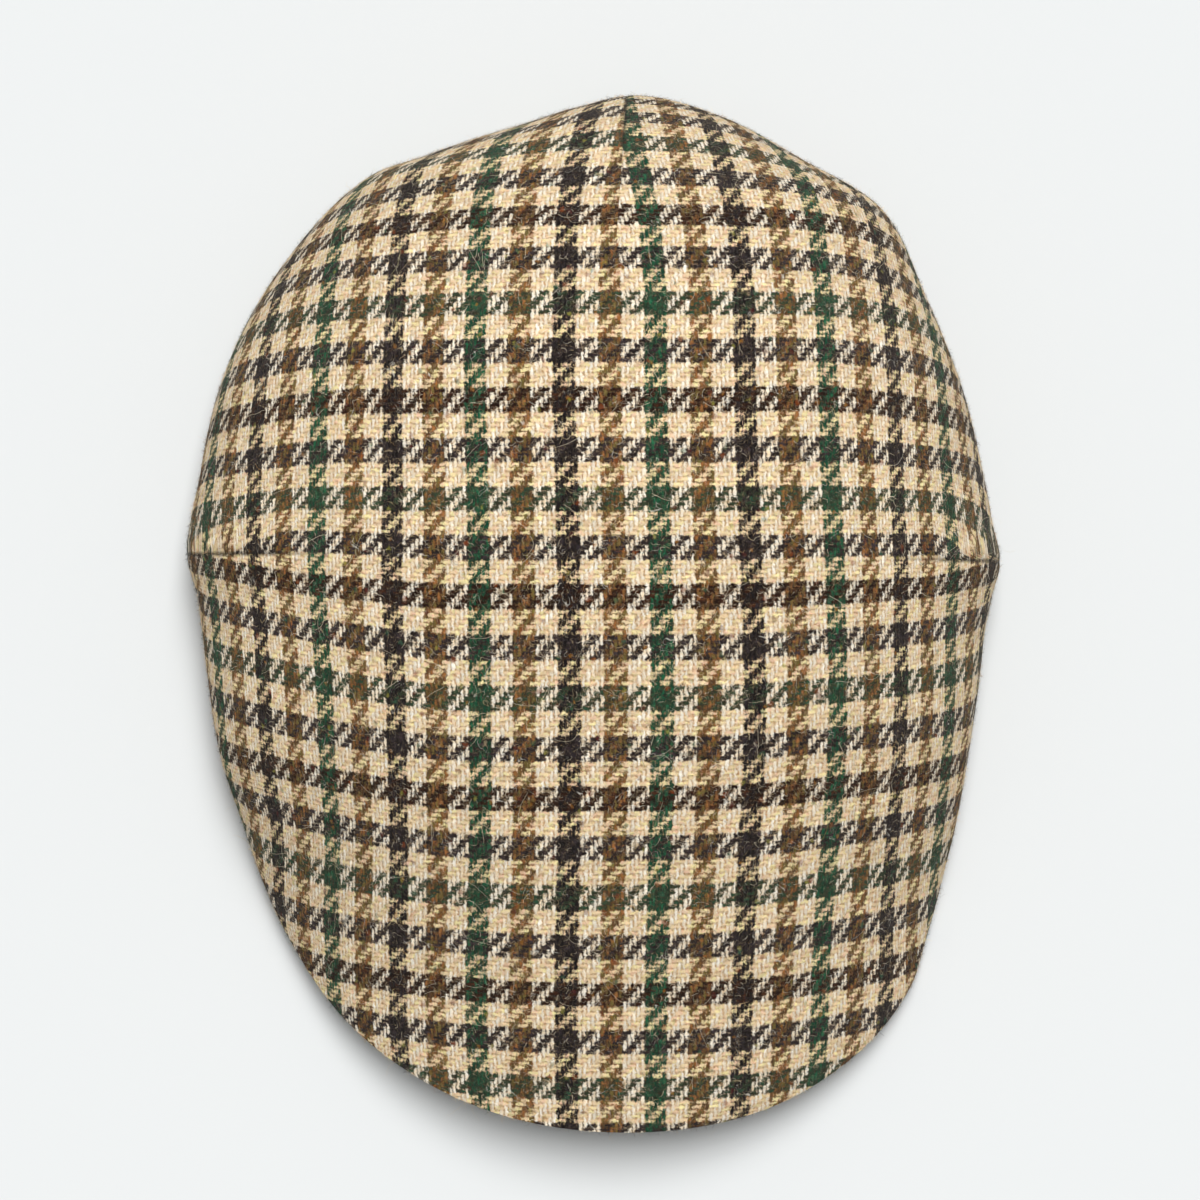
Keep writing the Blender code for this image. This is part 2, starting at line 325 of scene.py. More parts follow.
# The two sets of threads: where they are in the twill, how round they lie, and the order of their yarns
WARP = {
    "crossing": -1.0,
    "roundness": 3.6,
    "sett": ("ivory", "green", "ivory", "brown", "ivory", "black", "ivory", "brown"),
    "seed": 11.0,
}
WEFT = {
    "crossing": 2.0,
    "roundness": 3.0,
    "sett": ("cream", "chocolate", "cream", "charcoal", "cream", "forest", "cream", "charcoal"),
    "seed": 47.0,
}

# Each thread: how it falls off to its edges, how far it stands up, how its tone varies, and its thick places
THREAD_EDGE_POWER = 3.0
THREAD_RELIEF = 0.1
THREAD_TONE = 0.08
FUZZ_RELIEF = 1.2
SLUB = 1.0
SLUB_PITCH = 0.45

# The wools in each yarn: streaks across and along it, patches that several threads share, and how much of the
# second and third wools shows, from the low end of the noise to its high end
STREAKS = (2.6, 0.7)
STREAK_STEP = 3.7
PATCH_SCALE = 0.6
PATCH_SHARE = 0.4
SPUN_IN = (0.49, 0.58, 0.0, 0.9)
FIBRE_NOISE = (0.3, 0.7)
FIBRE_TONE = 0.16

# Felting: it pushes the threads about, and blurs where one goes over another
THREAD_WANDER = (
    # scale, push in threads
    (0.35, 0.6),
    (1.3, 0.9),
    (4.0, 0.85),
)
FELT_SCALE = 4.0
FELTING = 1.8
FELT_BLEND = 0.85
# Painted shade between the threads: the thread heights over which it fades out, and its warm tint
GAP_SHADE_HEIGHTS = (-1.3, 0.7)
GAP_SHADE_TINT = "DDBB96"
# Painted shade down in the darts' seams: its colour, and the part of the seam mask that darkens towards it
SEAM_SHADE_COLOUR = "1C1714"
SEAM_SHADE_RANGE = (0.12, 0.75, 0.0, 0.8)
SHEEN_COLOUR = "F4EEE2"
THREAD_COLOUR = "3C2E24"

# Loose fibres and neps drawn in the material. Each kind starts at its own place of the cloth map.
FIBRE_STEP = (7.3, 3.1)
FIBRE_BREAKS = 0.8
FIBRE_FADES = 0.1
LOOSE_FIBRES = (
    # wool, scale, line, gather, strength
    ("C8B088", 0.45, 0.010, 0.42, 0.5),
    ("A08A6C", 0.9, 0.020, 0.44, 0.45),
    ("6B4A2E", 0.7, 0.014, 0.50, 0.35),
    ("F5EEDF", 0.35, 0.007, 0.52, 0.6),
)
NEP_STEP = (5.7, 9.4)
NEP_CORE = 0.5
NEPS = (
    # wool, scale, size, strength
    ("8A4420", 0.07, 0.05, 0.6),
    ("A8702C", 0.09, 0.045, 0.55),
    ("A09A44", 0.08, 0.045, 0.5),
    ("5C2420", 0.08, 0.05, 0.6),
    ("3C6A50", 0.07, 0.045, 0.5),
)

# Finishes. Wool is matt, and brushing gives the tweed a soft sheen where it slopes away.
MATT = {"Specular IOR Level": 0.05}
TWEED_FINISH = {**MATT, "Roughness": 0.95, "Sheen Weight": 0.1, "Sheen Roughness": 0.5}
RAISED_WOOL_FINISH = {**MATT, "Roughness": 0.85}
THREAD_FINISH = {**MATT, "Roughness": 0.7, "Sheen Weight": 0.2}
TABLE_FINISH = {"Roughness": 0.9, "Specular IOR Level": 0.1}

# Light and camera
ROOM_COLOUR = "FCFEFF"
ROOM_LIGHT = 0.27
LAMP_SPREAD = 18.0
LAMPS = (
    # towards +X and towards the back for each step up, strength
    (0.03, 0.08, 0.74),
    (0.05, 0.21, 0.77),
    (0.07, 0.35, 0.73),
    (0.08, 0.49, 0.66),
    (0.09, 0.66, 0.58),
)
TABLE_COLOUR = "D7D9D9"
TABLE_HALF_WIDTH = 6000.0
SIGHT_X = 1.46
SIGHT_Y = 3.98
CAMERA_HEIGHT = 2200.0
VIEW_WIDTH = 318.48


def mix(first, second, share):
    return first + (second - first) * share


def ease(low, high, value):
    share = np.clip((value - low) / (high - low), 0.0, 1.0)
    return share * share * (3.0 - 2.0 * share)


def turn_between(first, second):
    """Degrees from first to second, the short way round."""
    return (second - first + 180.0) % 360.0 - 180.0


def off_front(angle):
    return np.abs(turn_between(FRONT_ANGLE, angle))


# ---------------- the cap's form


def outline(angle):
    """How far the cloth reaches in this direction: a smooth curve through the sections."""
    angles, reaches = SECTIONS[:, 0], SECTIONS[:, 1]
    count = len(SECTIONS)
    steps = (angles - angles[0]) % 360.0
    along = (angle - angles[0]) % 360.0
    here = np.clip(np.searchsorted(steps, along, side="right") - 1, 0, count - 1)
    before, after, beyond = (here - 1) % count, (here + 1) % count, (here + 2) % count
    span = (angles[after] - angles[here]) % 360.0
    start_slope = (reaches[after] - reaches[before]) / ((angles[here] - angles[before]) % 360.0 + span)
    end_slope = (reaches[beyond] - reaches[here]) / ((angles[beyond] - angles[after]) % 360.0 + span)
    t = (along - steps[here]) / span
    return (
        reaches[here] * (2 * t**3 - 3 * t**2 + 1)
        + start_slope * span * (t**3 - 2 * t**2 + t)
        + reaches[after] * (3 * t**2 - 2 * t**3)
        + end_slope * span * (t**3 - t**2)
    )


def point(angle, reach, height):
    """Points round the centre, as an array whose last axis is x, y and z."""
    turn = np.radians(angle)
    x = reach * np.cos(turn)
    y = CENTRE_Y + reach * np.sin(turn)
    return np.stack(np.broadcast_arrays(x, y, height), axis=-1)


def peak_share(angle):
    """1 where the rim follows the peak's edge, 0 where it follows the head opening."""
    return 1.0 - ease(*RIM_LEAVES_PEAK, off_front(angle))


def peak_underside(x, y):
    """The peak bows up in the middle and slopes down a little towards its front."""
    rise = mix(PEAK_FRONT_RISE, PEAK_BACK_RISE, ease(PEAK_FRONT_Y, PEAK_BACK_Y, y))
    arch = np.maximum(0.0, 1.0 - (x / PEAK_HALF_SPAN) ** 2) ** PEAK_ARCH_POWER
    return mix(PEAK_LOWEST, rise, arch)


def underside_at_outline(angle):
    edge = point(angle, outline(angle), 0.0)
    return peak_underside(edge[..., 0], edge[..., 1])


def opening_reach(angle):
    """From the centre to the head opening's ellipse."""
    way_x, way_y = np.cos(np.radians(angle)), np.sin(np.radians(angle))
    shift = CENTRE_Y - OPENING_CENTRE_Y
    a = (way_x / OPENING_HALF_WIDTH) ** 2 + (way_y / OPENING_HALF_LENGTH) ** 2
    b = 2 * way_y * shift / OPENING_HALF_LENGTH**2
    c = (shift / OPENING_HALF_LENGTH) ** 2 - 1
    return (-b + np.sqrt(b * b - 4 * a * c)) / (2 * a)


def rim_height(angle):
    return peak_share(angle) * underside_at_outline(angle)


def rim_reach(angle):
    """The rim's outer edge."""
    at_opening = opening_reach(angle) + 2 * CLOTH
    return mix(at_opening, outline(angle) - EDGE_OVERHANG, peak_share(angle))


def widest_height(angle):
    """How high the cloth is where it reaches furthest out."""
    bulge = mix(SIDE_BULGE_HEIGHT, BACK_BULGE_HEIGHT, ease(*BULGE_COMES_DOWN, off_front(angle)))
    over_peak = underside_at_outline(angle) + PEAK_THICKNESS + GAP + CLOTH
    return mix(bulge, over_peak, peak_share(angle))


def edge_samples(first_angle, last_angle):
    """The outline and its height along one side, over y from the front to the back."""
    angles = np.linspace(first_angle, last_angle, EDGE_SAMPLES)
    edge = point(angles, outline(angles), widest_height(angles))
    return np.maximum.accumulate(edge[:, 1]), edge[:, 0], edge[:, 2]


LEFT_EDGE = edge_samples(FRONT_TIP_ANGLE, BACK_TIP_ANGLE)
RIGHT_EDGE = edge_samples(FRONT_TIP_ANGLE + 360.0, BACK_TIP_ANGLE)


def crest_x(y):
    return CREST_X + CREST_END_DRIFT * (y / PEAK_FRONT_Y) ** 2


def crest_height(y, back_y, back_height, front_height):
    """The crown's profile along its crest: round at the back, then a slope down to the peak's edge."""
    back_share = np.clip((y - CROWN_TOP_Y) / (back_y - CROWN_TOP_Y), 0.0, 1.0)
    back = mix(back_height, CROWN_HEIGHT, np.sqrt(1.0 - back_share**BACK_FULLNESS))
    front_share = np.clip((CROWN_TOP_Y - y) / (CROWN_TOP_Y - PEAK_FRONT_Y), 0.0, 2.0)
    fall = np.hypot(front_share, FRONT_SLOPE_KNEE) - FRONT_SLOPE_KNEE
    whole_fall = math.hypot(1.0, FRONT_SLOPE_KNEE) - FRONT_SLOPE_KNEE
    return np.where(y > CROWN_TOP_Y, back, mix(CROWN_HEIGHT, front_height, fall / whole_fall))


def side_height(x, y, edge):
    """The crown's height on one side of its crest."""
    ys, xs, heights = edge
    edge_x = np.interp(y, ys, xs)
    edge_height = np.interp(y, ys, heights)
    crest = crest_height(y, ys[-1], heights[-1], heights[0])
    across = np.clip((x - crest_x(y)) / (edge_x - crest_x(y)), 0.0, 1.0)
    power = mix(SLANTED_EDGE_POWER, UPRIGHT_EDGE_POWER, ease(PEAK_FRONT_Y, SLANT_ENDS_Y, y))
    return mix(edge_height, crest, (1.0 - across**SIDE_FULLNESS) ** power)


def crown_height(x, y):
    """Across the cap the cloth rises from its edge on either side to the crest."""
    return np.where(x > crest_x(y), side_height(x, y, LEFT_EDGE), side_height(x, y, RIGHT_EDGE))


def dart_openings(angle, share):
    """For each dart, how far it has opened here, from 0 to 1, and how far it is away, in degrees."""
    return [(ease(start, 1.0, share), turn_between(dart, angle)) for dart, start in DARTS]


def dart_relief(angle, share, reach):
    """How far the darts lift the cloth here: a valley with a crease in it, between two low puffs.

    Towards the widest line the cloth is pulled taut over the side, so the outline hardly dips there.
    """
    relief = np.zeros(np.broadcast(angle, share).shape)
    taut = ease(*DART_TAUT, share)
    for opened, degrees in dart_openings(angle, share):
        away = np.abs(np.radians(degrees)) * reach
        puff = DART_PUFF * np.exp(-((away / DART_PUFF_WIDTH) ** 2))
        valley = DART_DEPTH * np.exp(-((away / DART_VALLEY_WIDTH) ** 2))
        crease = CREASE_DEPTH * np.exp(-((away / CREASE_WIDTH) ** 2))
        lifted = puff * (1.0 - DART_FLATTENS * taut)
        relief += opened * (lifted - (valley + crease) * (1.0 - DART_CLOSES * taut))
    return relief


def dome(angle, turn, inset):
    """The dome, as turn runs from 0 at the centre to 90 at the widest line. The inner face has an inset."""
    share = np.sin(np.radians(turn))
    level = np.cos(np.radians(turn))
    reach = outline(angle) * share
    spot = point(angle, reach, 0.0)
    height = crown_height(spot[..., 0], spot[..., 1])
    height = np.where(turn < 90.0, height, widest_height(angle))
    relief = dart_relief(angle, share, reach) * (1.0 - inset / CLOTH / 2)
    lowered = inset * mix(peak_share(angle), 1.0, level)
    return point(angle, reach + (relief - inset) * share, height - lowered + relief * level)


def turned_under(angle, t, inset):
    """Below the widest line the cloth curves in to the rim, t from 0 to 1."""
    start = dome(angle, 90.0, inset)
    share = peak_share(angle)
    floor = rim_height(angle)
    end_reach = rim_reach(angle) - inset
    if inset:
        floor = floor + mix(GROOVE_FLOOR, FRONT_GROOVE_FLOOR, share)
    end = point(angle, end_reach, floor)
    hang = start[..., 2] - floor
    inward = end - start
    inward[..., 2] = 0.0
    below_start = start.copy()
    below_start[..., 2] -= UNDER_DROP * hang
    above_end = end - inward * UNDER_DEPTH
    above_end[..., 2] += UNDER_LIFT * hang
    s = 1.0 - t
    return start * s**3 + below_start * 3 * s * s * t + above_end * 3 * s * t * t + end * t**3


def rounded(before, corner, after):
    """A fold in the cloth: five points on a curve round the corner, where the radius fits."""
    def reach_towards(other):
        way = other - corner
        length = np.linalg.norm(way, axis=-1, keepdims=True)
        return corner + way / length * np.minimum(FOLD_RADIUS, length * FOLD_SHARE)

    start, end = reach_towards(before), reach_towards(after)
    turns = (0.0, 0.25, 0.5, 0.75, 1.0)
    return [start * (1 - t) ** 2 + corner * 2 * t * (1 - t) + end * t**2 for t in turns]


def hem_rings(angle, last_under, groove):
    """Round the rim's fold, up the turned hem inside, over its top and down behind it."""
    share = peak_share(angle)
    floor = rim_height(angle)
    outer = rim_reach(angle)
    behind = outer - CLOTH
    inside = behind - mix(CLOTH, FRONT_HEM_STEP, share)
    top = floor + mix(HEM_HEIGHT, FRONT_HEM_HEIGHT, share)
    corners = (
        last_under,
        point(angle, outer, floor),
        point(angle, inside, floor),
        point(angle, inside, top),
        point(angle, behind, top),
        groove,
    )
    folds = [rounded(*corners[index : index + 3]) for index in range(4)]
    up_the_hem = [mix(folds[1][-1], folds[2][0], step / 4) for step in (1, 2, 3)]
    return folds[0] + folds[1] + up_the_hem + folds[2] + folds[3]


# ---------------- the cloth map


def arc_along(start, end, fixed, across):
    """Length of a tape laid over the crown from start to end, across the cap or else along it."""
    length = np.zeros(np.broadcast(end, fixed).shape)
    last_place = last_height = None
    for step in range(TAPE_STEPS + 1):
        share = math.sin(0.5 * math.pi * step / TAPE_STEPS)
        place = start + (end - start) * share
        height = crown_height(place, fixed) if across else crown_height(fixed, place)
        if step:
            length += np.hypot(place - last_place, height - last_height)
        last_place, last_height = place, height
    return np.sign(end - start) * length


def pulled(pulls, x, y):
    """Repeats by which the cloth's pulls move the check here."""
    return sum(
        repeats * np.exp(-(((x - middle_x) / across) ** 2) - ((y - middle_y) / along) ** 2)
        for middle_x, middle_y, across, along, repeats in pulls
    )


def eased_in(places, x, y):
    """Repeats by which the check moves here because the cloth is eased in."""
    return sum(
        ease(*out, side * x) * mix(before, 1.0, ease(*comes_in, y)) * mix(ahead, behind, ease(*changes, y))
        for side, out, comes_in, before, changes, ahead, behind in places
    )


def columns(x, y, panel):
    """Which repeat of the check lies here, counted across the cap from the first column."""
    count = arc_along(FIRST_COLUMN_X, x, y, True) / (WARP_PITCH * REPEAT)
    count = count + pulled(COLUMN_PULLS, x, y) + eased_in(EASED_COLUMNS, x, y)
    # The back dart takes cloth out of the middle of the back
    opened = np.maximum(0.0, (y - DART_TAKES_Y) / DART_TAKES_OVER)
    if panel == RIGHT_BACK:
        taken = TAKEN_RIGHT * opened**TAKEN_RIGHT_POWER
    else:
        taken = TAKEN_LEFT_BEFORE * ease(TAKEN_LEFT_BEFORE_Y, DART_TAKES_Y, y) + TAKEN_LEFT * opened
    return count + taken * np.exp(-(((x - BACK_DART_X) / TAKEN_REACH) ** 4))


def rows(x, y, panel):
    """Which repeat of the check lies here, counted from the back of the cap to the front."""
    arc = arc_along(CENTRE_Y, y, x, False)
    stretch = (FRONT_WEFT_PITCH / WEFT_PITCH - 1.0) * FRONT_PITCH_REACH / (FRONT_WEFT_PITCH * REPEAT)
    ahead = np.minimum(arc, 0.0)
    in_front = -ahead / (FRONT_WEFT_PITCH * REPEAT) + stretch * (1.0 - np.exp(ahead / FRONT_PITCH_REACH))
    count = np.where(arc > 0.0, -arc / (WEFT_PITCH * REPEAT), in_front) - FIRST_ROW
    count = count + pulled(ROW_PULLS, x, y) + eased_in(EASED_ROWS, x, y)
    # The side darts take cloth out, so the rows run into their seams
    for seam_panel, side, start, taken, seam_reach in SIDE_SEAMS:
        if panel == seam_panel:
            count += taken * np.maximum(0.0, side * x - start) * np.exp(-np.abs(y - CENTRE_Y) / seam_reach)
    # So does the back dart, on its right, and away from it the rows climb towards the back edge
    from_dart = np.abs(x - BACK_DART_X)
    if panel == RIGHT_BACK:
        back_share = np.maximum(0.0, (y - BACK_EDGE_Y[0]) / (BACK_EDGE_Y[1] - BACK_EDGE_Y[0]))
        count += LEAN * back_share**LEAN_POWER * np.exp(-((from_dart / LEAN_REACH) ** 2))
    return count + BACK_CLIMB * ease(*BACK_EDGE_Y, y) * ease(*BACK_CLIMB_REACH, from_dart)


def threads(spots, panel):
    """The cloth map over the dome: warp threads counted across, and weft threads counted to the back."""
    x, y = spots[..., 0], spots[..., 1]
    counts = (columns(x, y, panel) * REPEAT, -rows(x, y, panel) * REPEAT)
    return np.stack(counts, axis=-1) + BAND_MIDDLE


def threads_below(angles, rings, panel):
    """The map where the cloth turns in under its widest line, eased in towards the middle of its panel."""
    edge = rings[0]
    edge_threads = threads(edge, panel)
    edge_reach = np.hypot(edge[:, 0], edge[:, 1] - CENTRE_Y)
    middle = PANELS[panel][2]
    length = np.zeros(len(angles))
    maps = []
    for above, ring in zip(rings, rings[1:]):
        length = length + np.linalg.norm(ring - above, axis=-1)
        reach = np.hypot(ring[:, 0], ring[:, 1] - CENTRE_Y)
        kept = np.minimum(1.0, EASING * reach / (edge_reach + length))
        turned = np.concatenate(([0.0], np.cumsum(0.5 * (kept[1:] + kept[:-1]) * np.diff(angles))))
        turned += middle - np.interp(middle, angles, turned)
        way = np.radians(turned)
        across = np.interp(turned, angles, edge_threads[:, 0]) + length * np.cos(way) / WARP_PITCH
        back = np.interp(turned, angles, edge_threads[:, 1]) + length * np.sin(way) / WEFT_PITCH
        maps.append(np.stack((across, back), axis=-1))
    return maps


def hem_threads(rings):
    """The hem's own map: threads counted along the rim, and up the hem from the fold."""
    along = np.concatenate(([0.0], np.cumsum(np.linalg.norm(np.diff(rings[0], axis=0), axis=-1))))
    up = np.zeros(len(along))
    maps = [np.stack((along / WARP_PITCH, up), axis=-1)]
    for above, ring in zip(rings, rings[1:]):
        up = up + np.linalg.norm(ring - above, axis=-1)
        maps.append(np.stack((along / WARP_PITCH, up / WEFT_PITCH), axis=-1))
    return maps


# ---------------- the crown


def sector_angles():
    """Even sectors, crowded together at each dart's line."""
    angles = -180.0 + 360.0 * np.arange(SECTORS + 1) / SECTORS
    for dart, _ in DARTS:
        away = turn_between(dart, angles)
        angles = angles - CROWDING * away * np.exp(-((away / CROWDING_REACH) ** 2))
    angles[0], angles[-1] = -180.0, 180.0
    return angles


def crown_rings(angles):
    """The shell's rings: down the outer face, round the hem and up the inner face, in three stretches."""
    centre = point(angles, 0.0, crown_height(0.0, CENTRE_Y))
    inner_centre = point(angles, 0.0, crown_height(0.0, CENTRE_Y) - CLOTH)
    dome_turns = [90.0 * ring / DOME_RINGS for ring in range(1, DOME_RINGS + 1)]
    under_shares = [step / (UNDER_RINGS + 1) for step in range(1, UNDER_RINGS + 1)]
    outer = [centre] + [dome(angles, turn, 0.0) for turn in dome_turns]
    outer += [turned_under(angles, share, 0.0) for share in under_shares]
    inner = [turned_under(angles, share, CLOTH) for share in reversed(INNER_SHARES)]
    inner += [dome(angles, turn, CLOTH + seam_allowance(angles, turn)) for turn in INNER_TURNS]
    hem = hem_rings(angles, outer[-1], inner[0])
    return outer, hem, inner + [inner_centre]


def panel_maps(angles, outer, hem, inner, panel):
    """The cloth map of one panel for the outer face, the hem and the inner face, each over all rings."""
    first = np.searchsorted(angles, PANELS[panel][0] - SAME)
    last = np.searchsorted(angles, PANELS[panel][1] + SAME)
    cut = slice(first, last)
    angles = angles[cut]
    outer = [ring[cut] for ring in outer] + [hem[0][cut]]
    hem = [ring[cut] for ring in hem] + [inner[0][cut]]
    outer_map = list(threads(np.array(outer[: DOME_RINGS + 1]), panel))
    outer_map += threads_below(angles, outer[DOME_RINGS:], panel)
    above_inner = [turned_under(angles, share, 0.0) for share in [0.0] + INNER_SHARES]
    inner_map = threads_below(angles, above_inner, panel)[::-1]
    above_dome = [dome(angles, turn, 0.0) for turn in INNER_TURNS]
    inner_map += list(threads(np.array(above_dome + [outer[0]]), panel))
    return first, outer_map, hem_threads(hem), inner_map


def seam_allowance(angles, turn):
    """Inside, the cloth that a dart takes out lies pressed flat on both sides of its seam."""
    share = np.sin(np.radians(turn))
    thicker = np.zeros(len(angles))
    for opened, degrees in dart_openings(angles, share):
        away = np.abs(np.radians(degrees)) * outline(angles) * share
        flat = 1.0 - ease(ALLOWANCE_WIDTH - ALLOWANCE_EDGE, ALLOWANCE_WIDTH, away)
        thicker += np.minimum(1.0, ALLOWANCE_COMES_IN * opened) * flat
    return ALLOWANCE_HEIGHT * thicker


def unevenness(x, y):
    """How the cloth lies a little up and down, in long soft waves."""
    waves = np.zeros(np.broadcast(x, y).shape)
    for wave_x, wave_y, start, height in SOFT_WAVES:
        waves += height * np.sin(x / wave_x + y / wave_y + start)
    return waves


def finished(shape, name):
    """The shape as a mesh."""
    mesh = bpy.data.meshes.new(name)
    shape.to_mesh(mesh)
    shape.free()
    return mesh


def read(items, name, width=1, kind=np.float32):
    """One value of every vertex, corner or face, as an array."""
    values = np.zeros(len(items) * width, kind)
    items.foreach_get(name, values)
    return values.reshape(-1, width) if width > 1 else values


def build_crown():
    """A grid wrapped round the cap, its columns as sections and its rows as rings, closed up at its edges."""
    angles = sector_angles()
    outer, hem, inner = crown_rings(angles)
    rings = np.array(outer + hem + inner)
    dome_shares = np.sin(0.5 * math.pi * np.arange(DOME_RINGS + 1) / DOME_RINGS)
    inner_shares = np.sin(0.5 * math.pi * np.arange(INNER_DOME_RINGS, -1, -1) / INNER_DOME_RINGS)
    between = np.ones(len(rings) - len(dome_shares) - len(inner_shares))
    shares = np.concatenate((dome_shares, between, inner_shares))

    shell = bmesh.new()
    bmesh.ops.create_grid(shell, x_segments=SECTORS, y_segments=len(rings) - 1, size=1.0)
    mesh = bpy.data.meshes.new("crown_tweed")
    shell.to_mesh(mesh)
    flat = read(mesh.vertices, "co", 3)
    sector = np.round((1.0 + flat[:, 0]) / 2 * SECTORS).astype(int)
    row = np.round((1.0 - flat[:, 1]) / 2 * (len(rings) - 1)).astype(int)
    places = rings[row, sector]
    share = shares[row]
    level = np.sqrt(np.maximum(0.0, 1.0 - share**2)) * (row < DOME_RINGS)
    places[:, 2] += unevenness(places[:, 0], places[:, 1]) * level
    mesh.vertices.foreach_set("co", ((places - MIDDLE) * MM).astype(np.float32).ravel())

    # A mask along the darts' seam lines, for the painted shade down in them
    seam_shade = np.zeros(len(places))
    reach = np.hypot(places[:, 0], places[:, 1] - CENTRE_Y)
    for opened, degrees in dart_openings(angles[sector], share):
        seam_shade += opened * np.exp(-((np.radians(degrees) * reach / SEAM_SHADE_WIDTH) ** 2))
    layer = mesh.attributes.new("seam_shade", "FLOAT", "POINT")
    layer.data.foreach_set("value", seam_shade.astype(np.float32))
    add_cloth_map(mesh, row, sector, angles, outer, hem, inner)

    shell.clear()
    shell.from_mesh(mesh)
    edges = [vertex for vertex in shell.verts if vertex.is_boundary]
    bmesh.ops.remove_doubles(shell, verts=edges, dist=SAME * MM)
    shell.to_mesh(mesh)
    shell.free()
    mesh.materials.append(tweed_material("tweed"))
    return add_piece("crown_tweed", mesh)


def add_cloth_map(mesh, row, sector, angles, outer, hem, inner):
    """Writes the map to the faces' corners, so that it can break at each dart and at the rim's fold."""
    corners = read(mesh.loops, "vertex_index", kind=np.int32)
    row, sector = row[corners].reshape(-1, 4), sector[corners].reshape(-1, 4)
    face_row, face_sector = row.min(axis=1), sector.min(axis=1)
    counts = np.zeros((*row.shape, 2), np.float32)
    for panel in range(len(PANELS)):
        first, *stretches = panel_maps(angles, outer, hem, inner, panel)
        in_panel = (face_sector >= first) & (face_sector < first + len(stretches[0][0]) - 1)
        top = 0
        for stretch in stretches:
            bottom = top + len(stretch) - 1
            inside = in_panel & (face_row >= top) & (face_row < bottom)
            counts[inside] = np.array(stretch)[row[inside] - top, sector[inside] - first]
            top = bottom
    layer = mesh.uv_layers.new(name="threads")
    layer.uv.foreach_set("vector", counts.ravel())


# ---------------- the peak


def build_peak():
    """A flat grid bent into the crescent's upper face, drawn down to its thickness, with rounded edges."""
    plate = bmesh.new()
    bmesh.ops.create_grid(plate, x_segments=PEAK_SECTORS, y_segments=PEAK_RINGS, size=1.0)
    for vertex in plate.verts:
        angle = FRONT_ANGLE + PEAK_END_ANGLE * vertex.co.x
        outer = rim_reach(angle) - CLOTH - FRONT_HEM_STEP - GAP
        outer -= (CLOTH - FRONT_HEM_STEP) * (1.0 - peak_share(angle))
        spot = point(angle, mix(opening_reach(angle), outer, (1.0 - vertex.co.y) / 2), 0.0)
        spot[2] = peak_underside(spot[0], spot[1]) + PEAK_THICKNESS
        vertex.co = (spot - MIDDLE) * MM
    drawn = bmesh.ops.extrude_face_region(plate, geom=plate.faces[:], use_keep_orig=True)
    lower = [part for part in drawn["geom"] if isinstance(part, bmesh.types.BMVert)]
    bmesh.ops.translate(plate, verts=lower, vec=(0.0, 0.0, -PEAK_THICKNESS * MM))
    bmesh.ops.recalc_face_normals(plate, faces=plate.faces)
    sharp = math.radians(PEAK_EDGE_ANGLE)
    corners = [edge for edge in plate.edges if edge.calc_face_angle(0.0) > sharp]
    radius = PEAK_EDGE_RADIUS * MM
    bmesh.ops.bevel(plate, geom=corners, offset=radius, affect="EDGES", segments=4, profile=0.5, material=-1)
    layer = plate.loops.layers.uv.new("threads")
    for face in plate.faces:
        for corner in face.loops:
            x, y, z = (corner.vert.co / MM) + Vector(MIDDLE)
            up = (z - peak_underside(x, y)) * (abs(face.normal.z) < UPRIGHT_NORMAL)
            corner[layer].uv = ((x - FIRST_COLUMN_X) / WARP_PITCH, (y - up) / WEFT_PITCH)
    mesh = finished(plate, "peak_tweed")
    # The peak has no dart, so it gets no painted seam shade
    mesh.attributes.new("seam_shade", "FLOAT", "POINT")
    mesh.materials.append(tweed_material("peak tweed"))
    return add_piece("peak_tweed", mesh)


# ---------------- stitches


def stitch_run(shape, line, outward):
    """Stitches end to end along a line, each a short rounded length of thread lying on the cloth."""
    steps = np.linalg.norm(np.diff(line, axis=0), axis=-1)
    lengths = np.concatenate(([0.0], np.cumsum(steps)))
    for start in np.arange(0.0, lengths[-1] - STITCH_PITCH, STITCH_PITCH):
        ends = [
            Vector([np.interp(place, lengths, line[:, axis]) for axis in range(3)])
            for place in (start, start + STITCH_LENGTH)
        ]
        off_cloth = Vector([np.interp(start, lengths, outward[:, axis]) for axis in range(3)])
        along = (ends[1] - ends[0]).normalized()
        up = (off_cloth - along * off_cloth.dot(along)).normalized()
        turn = Matrix((along, up.cross(along), up)).transposed().to_4x4()
        size = Matrix.Diagonal((STITCH_LENGTH / 2, STITCH_WIDTH / 2, STITCH_WIDTH / 2, 1.0))
        place = Matrix.Translation((ends[0] + ends[1]) / 2 - Vector(MIDDLE))
        matrix = Matrix.Scale(MM, 4) @ place @ turn @ size
        bmesh.ops.create_uvsphere(shape, u_segments=6, v_segments=6, radius=1.0, matrix=matrix)


def build_stitches():
    """One row round the hem inside, and one row along the peak's edge underneath."""
    shape = bmesh.new()
    angles = np.linspace(
        FRONT_ANGLE + HEM_STITCHES_START, FRONT_ANGLE + 360.0 - HEM_STITCHES_START, HEM_LINE_POINTS
    )
    inside = rim_reach(angles) - CLOTH - mix(CLOTH, FRONT_HEM_STEP, peak_share(angles))
    line = point(angles, inside, rim_height(angles) + HEM_STITCH_HEIGHT)
    stitch_run(shape, line, point(angles, -1.0, 0.0) - point(angles, 0.0, 0.0))
    angles = np.linspace(FRONT_ANGLE - PEAK_STITCHES_END, FRONT_ANGLE + PEAK_STITCHES_END, PEAK_LINE_POINTS)
    line = point(angles, rim_reach(angles) - PEAK_STITCH_INSET, 0.0)
    line[:, 2] = peak_underside(line[:, 0], line[:, 1])
    stitch_run(shape, line, np.tile((0.0, 0.0, -1.0), (len(angles), 1)))
    mesh = finished(shape, "stitches")
    mesh.materials.append(thread_material())
    return add_piece("stitches", mesh)


# ---------------- loose wool


